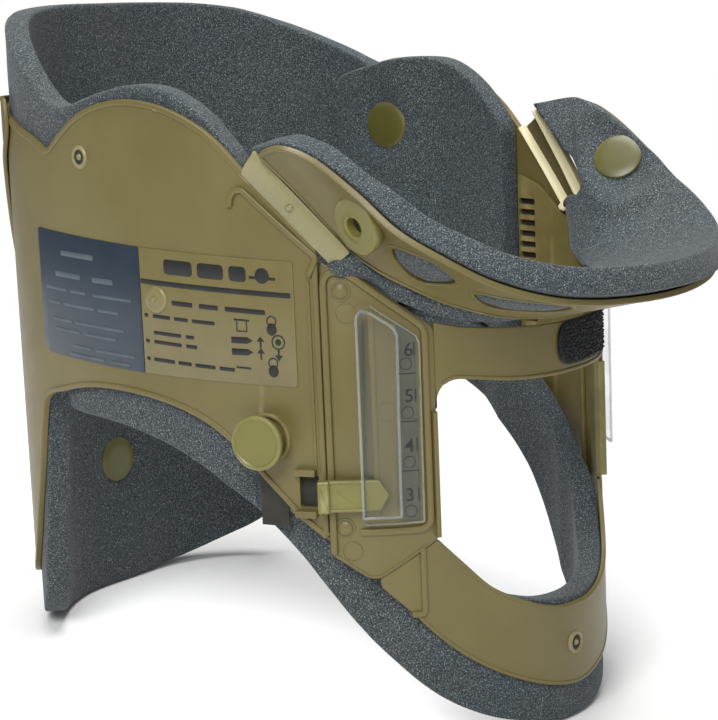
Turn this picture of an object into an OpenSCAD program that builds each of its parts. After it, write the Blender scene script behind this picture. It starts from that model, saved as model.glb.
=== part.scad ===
// Adjustable extrication collar for the neck.
// An upper shell with foam liner and a fold-up chin rest stands on a lower
// front frame. The frame slides in the shell and sets the height of the collar.
// +Z is up, -Y is the chin side, -X is the wearer's right side. Millimetres.

/* [Neck ring] */
// Half width of the nearly flat stretch at the front of the ring
front_flat = 12; // [6:1:20]
// Radius of the four rounded corners of the ring
corner_r = 61; // [50:1:75]
// Angle that each rounded corner turns through
corner_deg = 75; // [65:1:82]
// Radius of the gently curved sides
side_r = 207; // [150:1:320]
// Thickness of the moulded shell
shell_t = 1.6; // [1:0.1:2.5]
// Thickness of the foam liner
foam_t = 8; // [5:0.5:10]
// Backward lean of the shell when the collar stands on a table
stance_lean = 5; // [0:0.5:8]

/* [Height setting] */
// Height of one locking step
lock_pitch = 3.75; // [3:0.25:5]
// Number of locking slots in each ladder
lock_slots = 16; // [10:1:18]
// Distance between two numbers on the scale
scale_step = 15; // [12:0.5:18]

/* [Safety locks] */
// Diameter of the lock button
button_d = 17; // [14:0.5:20]
// Distance that the button pushes in
button_travel = 3; // [2:0.25:3]
// Distance of the button from the middle of the front, along the ring
lock_u = 100; // [98:0.5:102]
// Height of the button on the shell
lock_z = 97.75; // [94:0.25:100]

/* [Latches] */
// Height of the latch bar
latch_h = 10; // [8:0.2:12]
// Length of the latch bar without its arrow
latch_l = 18.7; // [16:0.1:20]
// Thickness of the latch bar
latch_t = 2; // [1.6:0.1:2.2]

/* [Front frame] */
// How far the throat strap and the chest plate bulge forward
front_bulge = 10; // [6:0.5:12]
// Thickness of the front frame
frame_t = 1.8; // [1.4:0.1:2.4]
// Height of the rim round each scale plate
rim_h = 1; // [0.6:0.1:1.2]

/* [Chin rest] */
// Diameter of the tubing eyelets
eyelet_d = 16; // [12:0.5:18]
// Diameter of the hole in each eyelet
eyelet_hole_d = 4; // [3:0.5:5]

/* [Hidden] */
$fn = 48;
corner_len = corner_r * corner_deg * PI / 180;
side_len = side_r * (90 - corner_deg) * PI / 180;
quarter = front_flat + corner_len + side_len;
corner_x = front_flat + corner_r * sin(corner_deg);
half_w = corner_x + side_r * (1 - sin(corner_deg));
half_l = corner_r * (1 - cos(corner_deg)) + side_r * cos(corner_deg);
gap = 0.3;
shell_in = -shell_t;
foam_out = shell_in - 0.1;
foam_in = foam_out - foam_t;
ladder_out = shell_in - 0.4;
ladder_in = ladder_out - 1.4;
arch_out = shell_in - gap;
lean_drop = (half_l + front_bulge + arch_out - foam_t) * sin(stance_lean) - 0.5 * cos(stance_lean);
// Moves the collar so that the origin lies below the middle of its length
centre_shift = 8.3;

shell_colour = [0.60, 0.53, 0.35];
light_colour = [0.64, 0.61, 0.38];
foam_colour = [0.33, 0.36, 0.38];
clear_colour = [0.85, 0.88, 0.88, 0.5];
dark_colour = [0.13, 0.14, 0.17];

// Edges of the sheets as pairs: distance from the front along the ring, height
side_top = [
  [81, 156], [104.6, 179], [112, 187], [118, 191.2], [126, 195.4], [134, 198.2],
  [143, 199.8], [152, 200], [161, 198.6], [171.5, 195], [180, 190], [186, 185.4],
  [189, 183]
];
side_bottom = [
  [81, 68], [84, 69.5], [90, 76], [100, 83], [115, 93], [128, 100], [141, 105],
  [155, 107.5], [168, 108.6], [180, 107.5], [189, 105.6]
];
back_top = [
  [189.4, 183.4], [198, 187], [208, 190], [220, 193], [240, 196], [265, 198],
  [292, 199]
];
back_bottom = [
  [189.4, 105.5], [200, 103.5], [203, 99], [205, 80], [208, 60], [212, 44],
  [217, 33.5], [225, 27.5], [240, 25], [262, 24.5], [292, 24.5]
];
// The liner dips lower on the right, so its top is listed all the way round
back_foam_top = [
  [178, 198], [186, 200], [194, 204], [202, 209], [210, 213.5], [218, 217],
  [228, 221], [241, 225], [265, 227.5], [300, 227.5], [330, 226.5], [343, 225.5],
  [359, 223], [374, 218.5], [386, 214.5], [394, 211.5], [404, 207.5], [414, 203],
  [424, 199], [436, 196]
];
back_foam_bottom = [
  [148, 118], [180, 113], [190, 110], [200, 104.5], [203, 99], [206, 66],
  [210, 45], [215.5, 24.5], [222, 20.5], [235, 17.6], [250, 16.8], [262, 16.65],
  [292, 16.65]
];
side_foam_top = [
  [105.5, 181], [112, 188], [118, 194], [126, 199.5], [134, 203], [141, 204.2],
  [150, 204], [160, 202], [170, 199.5], [178, 197]
];
side_foam_bottom = [
  [105.5, 103], [119, 110.5], [131, 114.5], [152, 116.5], [170, 114.5],
  [178, 112]
];
chest_foam_top = [
  [0, 39.5], [12, 40.5], [25, 44.5], [40, 51], [50, 54], [63, 60], [73.5, 69.5],
  [86, 80], [94, 91], [104, 100], [119, 108], [131, 112], [152, 114], [170, 112],
  [184, 107], [189, 103]
];
chest_foam_bottom = [
  [0, -0.5], [12, 0.5], [25, 4], [40, 10.5], [50, 18], [61, 27], [70, 33.5],
  [79, 41], [91, 55], [104, 65], [119, 76], [131, 87], [152, 93.5], [170, 95],
  [184, 96.5], [189, 99]
];
chest_foam_shift = [
  [0, 0], [48, 0], [62, -3.3], [108, -3.3], [118, 0], [300, 0]
];
strap_top = [[0, 127], [25, 128], [40, 130], [47, 132]];
strap_bottom = [[0, 111.5], [10, 111.5], [25, 112], [40, 114], [47, 117]];
chest_top = [
  [0, 37.5], [10, 38], [15, 39.5], [31, 48], [40, 57], [48, 65.5], [50.8, 63],
  [66, 54.4]
];
chest_bottom = [
  [0, 9], [10, 9.5], [24, 15.5], [41, 26], [50, 34.5], [57.5, 43], [66, 51.5]
];
plate_top = [[47, 122.5], [71.7, 149.3], [77, 149.8], [80.5, 147]];
plate_bottom = [[47, 66], [50.8, 63.7], [65.6, 54.8], [69, 55], [80.5, 61.5]];
ladder_top = [[66, 146], [74, 148], [84, 153], [94, 160], [105, 164]];
ladder_bottom = [[66, 60], [80, 64], [94, 74], [105, 84]];
window_top = [[51, 127], [62, 138.6], [70, 138.6]];
ear_shift = [[0, 0], [138, 0], [148, -8.6], [178, -8.6]];

// Chin rest: lower edge, then outer rim, for one half from hinge to middle
chin_low = [
  [62.6, -70.9, 156.2], [60, -76, 150], [57, -82, 145], [52, -88.5, 140.5],
  [46, -94.5, 137], [39, -100, 134.5], [31, -104, 133], [23, -106.6, 132.4],
  [16, -108.2, 132.2], [8, -109.2, 132.2], [0, -109.5, 132.2]
];
chin_rim = [
  [73.3, -47.4, 185], [79, -62, 187.6], [81, -75, 184.6], [81, -90, 175.4],
  [79, -102.5, 165], [71, -113, 156.6], [61, -123, 148.8], [48, -132, 143.4],
  [34, -138.8, 140.7], [17, -143.8, 139.6], [0, -145.4, 139.2]
];

// Position on the ring: u runs from the middle of the front over the right side
function wrap(u) = u < 0 ? u + 4 * quarter : u;
function half_u(u) = wrap(u) > 2 * quarter ? 4 * quarter - wrap(u) : wrap(u);
function side_of(u) = wrap(u) > 2 * quarter ? 1 : -1;
function q_of(u) = half_u(u) > quarter ? 2 * quarter - half_u(u) : half_u(u);
function turn_q(q) = q < front_flat ? 0
  : q < front_flat + corner_len ? (q - front_flat) / corner_r * 180 / PI
  : corner_deg + (q - front_flat - corner_len) / side_r * 180 / PI;
function x_q(q) = q < front_flat ? q
  : q < front_flat + corner_len ? front_flat + corner_r * sin(turn_q(q))
  : corner_x + side_r * (sin(turn_q(q)) - sin(corner_deg));
function y_q(q) = q < front_flat ? -half_l
  : q < front_flat + corner_len ? -half_l + corner_r * (1 - cos(turn_q(q)))
  : -side_r * cos(turn_q(q));
function turn(u) = half_u(u) > quarter ? 180 - turn_q(q_of(u)) : turn_q(q_of(u));
function nx(u) = side_of(u) * sin(turn(u));
function ny(u) = -cos(turn(u));
function rx(u) = side_of(u) * x_q(q_of(u));
function ry(u) = half_u(u) > quarter ? -y_q(q_of(u)) : y_q(q_of(u));
function bulge(u) = abs(u) < 50 ? front_bulge * (1 + cos(180 * u / 50)) / 2 : 0;
function at(u, z, d) = [rx(u) + nx(u) * d, ry(u) + ny(u) * d, z];

// Closed sheet through sections that each hold the same number of points
function side_faces(n, k) = [
  for (i = [0 : n - 2]) for (j = [0 : k - 1]) each [
    [i * k + j, (i + 1) * k + (j + 1) % k, i * k + (j + 1) % k],
    [i * k + j, (i + 1) * k + j, (i + 1) * k + (j + 1) % k]
  ]
];
function cap_faces(b, k) = [
  for (j = [0 : k / 2 - 2]) each [
    [b + j, b + j + 1, b + k - 2 - j],
    [b + j, b + k - 2 - j, b + k - 1 - j]
  ]
];
function flip(f) = [for (t = f) [t[0], t[2], t[1]]];
function all_points(s) = [for (i = [0 : len(s) - 1]) each s[i]];

module sweep(s) {
  n = len(s);
  k = len(s[0]);
  polyhedron(
    points = all_points(s),
    faces = concat(side_faces(n, k), cap_faces(0, k), flip(cap_faces((n - 1) * k, k))),
    convexity = 6
  );
}

// Section of a sheet between two heights and two distances from the ring
function section(u, zb, zt, d0, d1) = [
  at(u, zb, d0), at(u, zb, d1), at(u, zt, d1), at(u, zt, d0)
];

module band(us, bottom, top, d0, d1, shift = [[0, 0], [700, 0]], full_top = false) {
  sweep([
    for (u = us) section(
      u, lookup(half_u(u), bottom), lookup(full_top ? u : half_u(u), top),
      d0 + lookup(half_u(u), shift), d1 + lookup(half_u(u), shift)
    )
  ]);
}

module front_band(us, bottom, top, d0, d1, shift = [[0, 0], [700, 0]]) {
  sweep([
    for (u = us) section(
      u, lookup(half_u(u), bottom), lookup(half_u(u), top),
      d0 + bulge(u) + lookup(half_u(u), shift),
      d1 + bulge(u) + lookup(half_u(u), shift)
    )
  ]);
}

// Places a piece on the ring, with its own z axis pointing outward
module on_ring(u, z, d = 0) {
  translate(at(u, z, d)) rotate([90, 0, side_of(u) * turn(u)]) children();
}

// Sets the collar down on its chest pad and on the back of its liner
module stance() {
  translate([0, centre_shift, -lean_drop]) rotate([-stance_lean, 0, 0]) children();
}

module left() {
  mirror([1, 0, 0]) children();
}

function steps(a, b, n) = [for (i = [0 : n]) a + (b - a) * i / n];

// ---------- upper shell ----------
module side_panel() {
  color(shell_colour) difference() {
    band(
      concat([81], steps(84, 102, 5), steps(104.6, 188, 20), [189]),
      side_bottom, side_top, shell_in, 0
    );
    on_ring(lock_u, lock_z, -4) cylinder(h = 8, d = 8.2);
  }
}

module side_panel_right() {
  stance() side_panel();
}

module side_panel_left() {
  stance() left() side_panel();
}

module back_panel() {
  u_end = 4 * quarter - 189.4;
  color(shell_colour) stance() band(
    concat(
      [189.4, 194, 200, 203, 205, 208, 212, 217], steps(225, 359, 28),
      [367, 372, 376, 379, 381, 384, 390, u_end]
    ),
    back_bottom, back_top, shell_in, 0
  );
}

module closure_tab() {
  color(shell_colour) stance() band(
    steps(219, 271, 13), [[219, 140], [271, 136]], [[219, 200], [271, 197]], gap, gap + 1.4
  );
}

module side_foam_right() {
  color(foam_colour) stance() band(
    steps(105.5, 177.5, 18), side_foam_bottom, side_foam_top, foam_in, foam_out
  );
}

module side_foam_left() {
  color(foam_colour) stance() left() band(
    steps(105.5, 177.5, 18), side_foam_bottom, side_foam_top, foam_in, foam_out, ear_shift
  );
}

module back_foam() {
  color(foam_colour) stance() band(
    concat(
      [178.5, 184, 190, 196, 200, 203, 206, 210, 215.5], steps(222, 362, 28),
      [368.7, 374, 378, 381, 384, 390, 396], steps(402, 434, 8)
    ),
    back_foam_bottom, back_foam_top, foam_in, foam_out, full_top = true
  );
}

module label() {
  color([0.55, 0.50, 0.38]) band(
    steps(89, 198, 27), [[89, 114.5], [198, 116.5]], [[89, 152], [198, 156]], 0.02, 0.24
  );
}

module label_right() {
  stance() difference() {
    label();
    on_ring(139.5, 138.5, -2) cylinder(h = 6, d = 8);
  }
}

module label_left() {
  stance() left() label();
}

// ---------- living hinges and chin rest ----------
// Strip between the shell's sloping edge and the end of the chin rest
module hinge_strip() {
  color(light_colour) sweep([
    for (t = [0 : 0.125 : 1])
      let (ua = 104 - 27.4 * t, za = 179.2 - 27.0 * t)
      let (ub = 99.4 - 26.2 * t, zb = 184.6 - 28.6 * t)
      [at(ua, za, shell_in), at(ua, za, 0), at(ub, zb, 0), at(ub, zb, shell_in)]
  ]);
}

module hinge_strip_right() {
  stance() hinge_strip();
}

module hinge_strip_left() {
  stance() left() hinge_strip();
}

function mirror_x(p) = [-p[0], p[1], p[2]];
// The right half of the lists lies at -x, so the first stations are mirrored
chin_n = len(chin_low);
chin_l = concat(
  [for (i = [0 : chin_n - 1]) mirror_x(chin_low[i])],
  [for (i = [chin_n - 2 : -1 : 0]) chin_low[i]]
);
chin_r = concat(
  [for (i = [0 : chin_n - 1]) mirror_x(chin_rim[i])],
  [for (i = [chin_n - 2 : -1 : 0]) chin_rim[i]]
);
// The rest curls outward: it leaves the lower edge upright and flares at the rim
function chin_mid(a, b) = [a[0] * 0.62 + b[0] * 0.38, a[1] * 0.62 + b[1] * 0.38, a[2] * 0.42 + b[2] * 0.58 - 1];
function bend(a, m, b, s) = a * (1 - s) * (1 - s) + m * 2 * s * (1 - s) + b * s * s;
function chin_at(i, s) = bend(chin_l[i], chin_mid(chin_l[i], chin_r[i]) + [0, 0, -2], chin_r[i], s);
function unit(v) = v / norm(v);
function chin_normal(i, s) =
  let (a = chin_at(max(i - 1, 0), s), b = chin_at(min(i + 1, 2 * chin_n - 2), s))
  let (c = chin_at(i, max(s - 0.05, 0)), e = chin_at(i, min(s + 0.05, 1)))
  unit(cross(b - a, e - c));
chin_s = [0, 0.2, 0.4, 0.6, 0.8, 1];
function chin_point(i, s, d) = chin_at(i, s) + chin_normal(i, s) * d;

module chin_sheet(d0, d1, s_low = 0) {
  sweep([
    for (i = [0 : 2 * chin_n - 2]) concat(
      [for (k = [0 : 5]) chin_point(i, chin_s[k], d0)],
      [for (k = [5 : -1 : 0]) chin_point(i, chin_s[k], d1)]
    )
  ]);
}

chin_eye = chin_point(2, 0.45, 0);
chin_eye_n = chin_normal(2, 0.45);

module at_eyelet() {
  pitch_a = acos(chin_eye_n[2]);
  yaw_a = atan2(chin_eye_n[1], chin_eye_n[0]);
  translate(chin_eye) rotate([0, pitch_a, yaw_a]) children();
}

module chin_shell() {
  color(shell_colour) stance() difference() {
    chin_sheet(0, shell_t);
    at_eyelet() cylinder(h = 12, d = eyelet_hole_d + 3, center = true);
    left() at_eyelet() cylinder(h = 12, d = eyelet_hole_d + 3, center = true);
  }
}

module chin_foam() {
  color(foam_colour) stance() difference() {
    chin_sheet(-foam_t - 0.6, -0.6);
    at_eyelet() cylinder(h = 40, d = eyelet_hole_d + 5, center = true);
    left() at_eyelet() cylinder(h = 40, d = eyelet_hole_d + 5, center = true);
  }
}

module eyelet() {
  color(light_colour) at_eyelet() difference() {
    union() {
      translate([0, 0, shell_t + 0.4]) cylinder(h = 3.1, d = 8.4);
      translate([0, 0, shell_t + 1.9]) cylinder(h = 1.6, d = eyelet_d);
    }
    cylinder(h = 12, d = eyelet_hole_d, center = true);
  }
}

module chin_eyelets() {
  stance() eyelet();
  stance() left() eyelet();
}

// ---------- rivets and buttons ----------
module button(h = 1.4, d = 14) {
  cylinder(h = h, d = d);
}

module liner_buttons() {
  color(light_colour) stance() {
    on_ring(150, 180, foam_in - 1.5) button();
    left() on_ring(161, 180, foam_in - 10.1) button();
    on_ring(292, 62, foam_in - 1.5) button();
  }
}

module rivet() {
  difference() {
    cylinder(h = 1.1, d = 5.6);
    translate([0, 0, 0.4]) cylinder(h = 2, d = 3);
  }
}

module shell_rivets() {
  color(light_colour) stance() {
    on_ring(171, 182, 0.02) rivet();
    left() on_ring(171, 182, 0.02) rivet();
    on_ring(139.5, 138.5, 0.02) cylinder(h = 1.2, d = 7);
  }
}

// ---------- latches ----------
latch_u = 70;
latch_z = 81.2;
latch_back = 14;
latch_d = rim_h + 0.35;

module latch() {
  arrow = 3;
  tip = latch_l - latch_back;
  color(light_colour) on_ring(latch_u, latch_z, latch_d) {
    translate([-latch_back, -latch_h / 2, 0]) cube([latch_l, latch_h, latch_t]);
    linear_extrude(height = latch_t) polygon([
      [tip, -latch_h / 2], [tip + arrow, 0], [tip, latch_h / 2]
    ]);
    translate([-latch_back, -latch_h / 2, latch_t]) cube([3.4, latch_h, 1.4]);
  }
}

module latch_right() {
  stance() latch();
}

module latch_left() {
  stance() left() latch();
}

module latch_guide() {
  color(shell_colour) on_ring(87.6, latch_z, 0) {
    translate([-3.2, latch_h / 2 + 0.5, 0.05]) cube([6.4, 2, 4]);
    translate([-3.2, -latch_h / 2 - 2.5, 0.05]) cube([6.4, 2, 4]);
  }
}

module latch_guide_right() {
  stance() latch_guide();
}

module latch_guide_left() {
  stance() left() latch_guide();
}

// ---------- safety locks ----------
module lock_boss() {
  color(shell_colour) on_ring(lock_u, lock_z, 0.05) difference() {
    cylinder(h = 2, d = 12.5);
    translate([0, 0, -1]) cylinder(h = 5, d = 8.2);
  }
}

module lock_boss_right() {
  stance() lock_boss();
}

module lock_boss_left() {
  stance() left() lock_boss();
}

module safety_lock() {
  color(light_colour) on_ring(lock_u, lock_z, 0) {
    translate([0, 0, 6]) cylinder(h = 2.4, d = button_d);
    translate([0, 0, 1.6]) cylinder(h = 4.4, d = 7.6);
    translate([-3.2, -0.8, -1.6]) cube([6.4, 1.6, 3.2]);
  }
}

module safety_lock_right() {
  stance() safety_lock();
}

module safety_lock_left() {
  stance() left() safety_lock();
}

// ---------- front frame ----------
module scale_plate() {
  us = concat([47.05, 49, 50.8, 53, 57, 61, 65.6, 69, 71.7, 74, 77, 80.5]);
  color(shell_colour) {
    band(us, plate_bottom, plate_top, ladder_out, 0);
    band([78.5, 79.5, 80.5], [[78.5, 64], [80.5, 63]], [[78.5, 148], [80.5, 146.4]], 0, rim_h);
    band([48.4, 49.6, 50.6], [[48, 66], [51, 64.6]], [[48, 123], [51, 126]], 0, rim_h);
  }
}

module scale_plate_right() {
  stance() scale_plate();
}

module scale_plate_left() {
  stance() left() scale_plate();
}

module ladder() {
  color(shell_colour) difference() {
    band(steps(66, 105, 13), ladder_bottom, ladder_top, ladder_in, ladder_out);
    for (k = [0 : lock_slots - 1])
      on_ring(lock_u, lock_z + k * lock_pitch, ladder_in - 2)
        translate([-4, -1.05, 0]) cube([8, 2.1, 5]);
  }
}

module ladder_right() {
  stance() ladder();
}

module ladder_left() {
  stance() left() ladder();
}

module number_strip() {
  color([0.72, 0.70, 0.60]) band(
    [52.6, 55, 57.4], [[52, 72.5], [58, 72.5]], [[52, 126], [58, 132]], 0.02, 0.3
  );
}

module number_strip_right() {
  stance() number_strip();
}

module number_strip_left() {
  stance() left() number_strip();
}

// Clear cover over the numbers, open toward the latch
module scale_window() {
  color(clear_colour) difference() {
    band([51, 54, 58, 62, 66, 70], [[51, 70.4], [70, 70.4]], window_top, 0.35, 6.1);
    band(
      [52.2, 55, 58.5, 62, 66, 71.5], [[51, 71.6], [72, 71.6]],
      [[52, 126.6], [62, 137.3], [72, 137.3]], -1, 5
    );
  }
}

module scale_window_right() {
  stance() scale_window();
}

module scale_window_left() {
  stance() left() scale_window();
}

module guide_rail() {
  color(light_colour) {
    on_ring(47.6, 85.5, 0) translate([-0.6, -20, rim_h - 0.9]) cube([2.2, 40, 2]);
    on_ring(52.4, 53, 0) translate([-1.2, -9, 0.15]) cube([2.4, 18, 1.2]);
  }
}

module guide_rail_right() {
  stance() guide_rail();
}

module guide_rail_left() {
  stance() left() guide_rail();
}

module throat_strap() {
  color(shell_colour) stance() front_band(
    steps(-47, 47, 22), strap_bottom, strap_top, -frame_t, 0
  );
}

module hook_patch() {
  color(dark_colour) stance() front_band(
    steps(-22, 8, 10), [[0, 113.4], [22, 113.8]], [[0, 126.4], [22, 126.6]], 0.05, 1.6
  );
}

module chest_plate() {
  color(shell_colour) stance() front_band(
    concat(
      [-66, -61, -57.5, -54, -50.8], steps(-48, 48, 24), [50.8, 54, 57.5, 61, 66]
    ),
    chest_bottom, chest_top, -frame_t, 0
  );
}

module chest_foam() {
  color(foam_colour) stance() front_band(
    concat(
      [-189, -184], steps(-176, -52, 31), steps(-48, 48, 24), steps(52, 176, 31),
      [184, 189]
    ),
    chest_foam_bottom, chest_foam_top, arch_out - foam_t, arch_out - 0.1, chest_foam_shift
  );
}

module frame_rivets() {
  color(light_colour) stance() {
    on_ring(0, 24, front_bulge + 0.05) rivet();
    for (z = [70, 142]) on_ring(75, z, 0.05) cylinder(h = 1, d = 5);
    for (z = [70, 142]) left() on_ring(75, z, 0.05) cylinder(h = 1, d = 5);
  }
}

side_panel_right();
side_panel_left();
back_panel();
closure_tab();
side_foam_right();
side_foam_left();
back_foam();
hinge_strip_right();
hinge_strip_left();
chin_shell();
chin_foam();
chin_eyelets();
liner_buttons();
shell_rivets();
label_right();
label_left();
latch_guide_right();
latch_guide_left();
lock_boss_right();
lock_boss_left();
safety_lock_right();
safety_lock_left();
latch_right();
latch_left();
scale_plate_right();
scale_plate_left();
ladder_right();
ladder_left();
number_strip_right();
number_strip_left();
scale_window_right();
scale_window_left();
guide_rail_right();
guide_rail_left();
throat_strap();
hook_patch();
chest_plate();
chest_foam();
frame_rivets();
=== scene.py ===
"""An adjustable extrication collar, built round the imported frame.

Most pieces are drawn flat in (u, z, d), in millimetres: u runs along the neck ring from the middle
of the front over the wearer's right side, z is the height and d the distance outward from the
shell's face. The pattern is then bent onto the ring, leaned back with the frame and put in metres.
"""
import math
import random

import bmesh
import bpy
from mathutils import Matrix, Vector, noise


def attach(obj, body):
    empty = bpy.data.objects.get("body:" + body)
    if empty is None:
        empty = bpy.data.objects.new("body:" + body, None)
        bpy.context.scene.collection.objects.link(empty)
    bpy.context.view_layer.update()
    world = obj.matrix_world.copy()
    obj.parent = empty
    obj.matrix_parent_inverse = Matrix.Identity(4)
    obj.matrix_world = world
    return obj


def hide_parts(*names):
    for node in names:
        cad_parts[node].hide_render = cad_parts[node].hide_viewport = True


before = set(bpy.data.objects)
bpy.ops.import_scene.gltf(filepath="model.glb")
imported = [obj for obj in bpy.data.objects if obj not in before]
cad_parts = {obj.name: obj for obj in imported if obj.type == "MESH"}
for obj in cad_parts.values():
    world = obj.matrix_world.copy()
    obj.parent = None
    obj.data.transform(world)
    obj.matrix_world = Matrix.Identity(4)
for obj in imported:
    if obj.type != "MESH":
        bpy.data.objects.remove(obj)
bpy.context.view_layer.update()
random.seed(7)

SIDES = ((1, "right"), (-1, "left"))
# slices of a pattern, in mm along u and z, where it only bends round the ring
BEND = (2.0, None)

# ---------- the neck ring ----------
FLAT, CORNER_R, CORNER_A, SIDE_R = 12.0, 61.0, math.radians(75), 207.0
CORNER_L = CORNER_R * CORNER_A
QUARTER = FLAT + CORNER_L + SIDE_R * (math.pi / 2 - CORNER_A)
ROUND = 4 * QUARTER
CORNER_X = FLAT + CORNER_R * math.sin(CORNER_A)
HALF_L = CORNER_R * (1 - math.cos(CORNER_A)) + SIDE_R * math.cos(CORNER_A)
SHELL_T, FOAM_T, BULGE = 1.6, 8.0, 10.0
LEAN = math.radians(5)
DROP = (HALF_L + BULGE - SHELL_T - 0.3 - FOAM_T) * math.sin(LEAN) - 0.5 * math.cos(LEAN)
STANCE = Matrix.Translation((0, 8.3, -DROP)) @ Matrix.Rotation(-LEAN, 4, "X")
FOAM_IN, FOAM_OUT = -SHELL_T - 0.1 - FOAM_T, -SHELL_T - 0.1


def ring(u):
    """x, y and outward direction of the ring at u."""
    u %= ROUND
    side, h = (1, ROUND - u) if u > 2 * QUARTER else (-1, u)
    q = 2 * QUARTER - h if h > QUARTER else h
    if q < FLAT:
        t, x, y = 0.0, q, -HALF_L
    elif q < FLAT + CORNER_L:
        t = (q - FLAT) / CORNER_R
        x, y = FLAT + CORNER_R * math.sin(t), CORNER_R * (1 - math.cos(t)) - HALF_L
    else:
        t = CORNER_A + (q - FLAT - CORNER_L) / SIDE_R
        x, y = CORNER_X + SIDE_R * (math.sin(t) - math.sin(CORNER_A)), -SIDE_R * math.cos(t)
    if h > QUARTER:
        t, y = math.pi - t, -y
    return side * x, y, side * math.sin(t), -math.cos(t)


def at(u, z, d):
    """The ring's own placing function: a flat point's place on the ring."""
    x, y, nx, ny = ring(u)
    return Vector((x + nx * d, y + ny * d, z))


def table(pairs, x):
    """Value of a table of pairs at x, straight between its entries."""
    if x <= pairs[0][0]:
        return pairs[0][1]
    for (a, p), (b, q) in zip(pairs, pairs[1:]):
        if x <= b:
            return p + (q - p) * (x - a) / (b - a)
    return pairs[-1][1]


def smooth(x):
    """Eases from 0 to 1 as x does."""
    x = min(max(x, 0.0), 1.0)
    return x * x * (3 - 2 * x)


def bulge(u):
    """How far the front stands off the ring, to clear the throat."""
    return BULGE * (1 + math.cos(math.pi * u / 50)) / 2 if abs(u) < 50 else 0.0


def on_front(u, z, d):
    return at(u, z, d + bulge(u))


def on_chest(u, z, d):
    return at(u, z, d + bulge(u) + table([(0, 0), (48, 0), (62, -3.3), (108, -3.3), (118, 0)], abs(u)))


def on_ear(u, z, d):
    """The left side pad steps in where it overlaps the nape liner."""
    return at(u, z, d - 8.6 * smooth((u - 136) / 14))


def spot(u, z, d=0.0, inward=False):
    """Placing function of a small piece on the ring, whose own z axis points outward or inward."""
    x, y, nx, ny = ring(u)
    n = Vector((nx, ny, 0)) * (-1 if inward else 1)
    up = Vector((0, 0, 1))
    rows = Matrix((up.cross(n), up, n)).transposed().to_4x4()
    m = Matrix.Translation(at(u, z, d)) @ rows
    return lambda a, b, c: m @ Vector((a, b, c))


# ---------- the chin rest's surface ----------
CHIN_LOW = [
    (64.5, -73.7, 156.2), (61, -78, 150), (57, -82, 145), (52, -88.5, 140.5), (46, -94.5, 137),
    (39, -100, 134.5), (31, -104, 133), (23, -106.6, 132.4), (16, -108.2, 132.2),
    (8, -109.2, 132.2), (0, -109.5, 132.2),
]
CHIN_RIM = [
    (76.2, -49.5, 185), (81, -62.8, 187.9), (79.3, -74, 184.3), (77.3, -87.8, 174.7),
    (75.1, -100.2, 164.3), (68.9, -111.7, 156.2), (60, -122.4, 148.6), (48, -132, 143.4), (34, -138.8, 140.7),
    (17, -143.8, 139.6), (0, -145.4, 139.2),
]


def whole(half):
    """Both halves of a chin line, from the right hinge to the left one."""
    return [Vector((-x, y, z)) for x, y, z in half] + [Vector(p) for p in half[-2::-1]]


LOW, RIM = whole(CHIN_LOW), whole(CHIN_RIM)
# the chin rest's flat pattern: a is 10 per station from hinge to hinge, b is 30 up to the rim
STATION, UP = 10, 30
CHIN_L = STATION * (len(RIM) - 1)


def along(points, i):
    """Smooth position at station i of a row of points, straight on past its ends."""
    last = len(points) - 1
    if i < 0:
        return points[0] + (points[0] - points[1]) * -i
    if i > last:
        return points[last] + (points[last] - points[last - 1]) * (i - last)
    k = min(max(int(math.floor(i)), 0), last - 1)
    t = i - k
    p1, p2 = points[k], points[k + 1]
    p0 = points[k - 1] if k else p1 * 2 - p2
    p3 = points[k + 2] if k + 2 <= last else p2 * 2 - p1
    return (p1 * 2 + (p2 - p0) * t + (p0 * 2 - p1 * 5 + p2 * 4 - p3) * t * t
            + (p1 * 3 - p0 - p2 * 3 + p3) * t ** 3) * 0.5


def chin_surface(i, s):
    """Outer face of the chin rest at station i, with s from 0 at its low line to 1 at its rim."""
    a, b = along(LOW, i), along(RIM, i)
    m = Vector((a.x * 0.62 + b.x * 0.38, a.y * 0.62 + b.y * 0.38, a.z * 0.42 + b.z * 0.58 - 3))
    return a * (1 - s) ** 2 + m * (2 * s * (1 - s)) + b * s * s


def chin_normal(i, s):
    across = chin_surface(i + 0.4, s) - chin_surface(i - 0.4, s)
    return across.cross(chin_surface(i, s + 0.04) - chin_surface(i, s - 0.04)).normalized()


def on_chin(a, b, d):
    i, s = a / STATION, b / UP
    return chin_surface(i, s) + chin_normal(i, s) * d


def chin_spot(a, b, d, inward=False, tip=0.0):
    """Placing function of a small piece on the chin rest, tipped about its own x axis."""
    i, s = a / STATION, b / UP
    n = chin_normal(i, s) * (-1 if inward else 1)
    y = (chin_surface(i, s + 0.05) - chin_surface(i, s)).normalized()
    x = y.cross(n).normalized()
    rows = Matrix((x, n.cross(x), n)).transposed().to_4x4()
    m = Matrix.Translation(on_chin(a, b, -d if inward else d)) @ rows @ Matrix.Rotation(tip, 4, "X")
    return lambda p, q, r: m @ Vector((p, q, r))


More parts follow.
